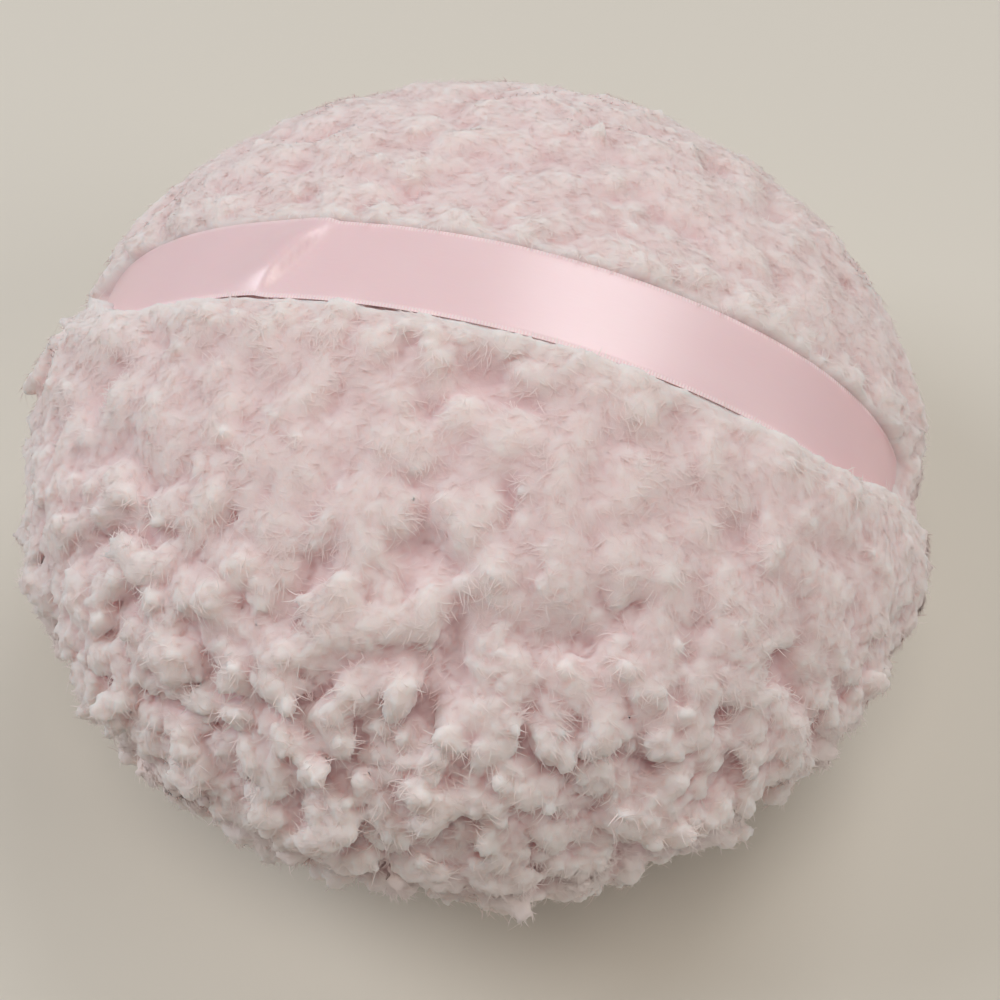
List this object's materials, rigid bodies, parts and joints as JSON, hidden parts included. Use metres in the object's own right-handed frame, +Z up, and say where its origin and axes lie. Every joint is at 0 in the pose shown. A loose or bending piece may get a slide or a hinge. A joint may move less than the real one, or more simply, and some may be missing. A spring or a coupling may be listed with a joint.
{
  "type": "powder puff",
  "caption": "Round flattened body powder puff of deep fleece pile with fibre filling and a satin ribbon hand strap across the top.",
  "frame": {"origin": "middle of the underside, on the surface that the puff rests on", "axes": "+Z up through the crown, across the ribbon strap; X along the ribbon, from its left end to its right end"},
  "size_m": [0.1561, 0.1581, 0.0914],
  "materials": {
    "pile": "matte",
    "knit_backing": "matte",
    "fibre_filling": "matte",
    "satin": "satin",
    "thread": "satin"
  },
  "bodies": {
    "puff": {"top_pile": "pile", "bottom_pile": "pile", "top_knit": "knit_backing", "bottom_knit": "knit_backing", "filling": "fibre_filling", "edge_seam_thread": "thread", "closing_stitches": "thread", "left_strap_tack": "thread", "right_strap_tack": "thread"},
    "strap": {"strap_ribbon": "satin"}
  },
  "joints": [
    {"name": "strap_lift", "type": "slide", "parent": "puff", "child": "strap", "axis": [0, 0, 1], "range_m": [0, 0.008], "deforming": ["strap_ribbon"]}
  ]
}
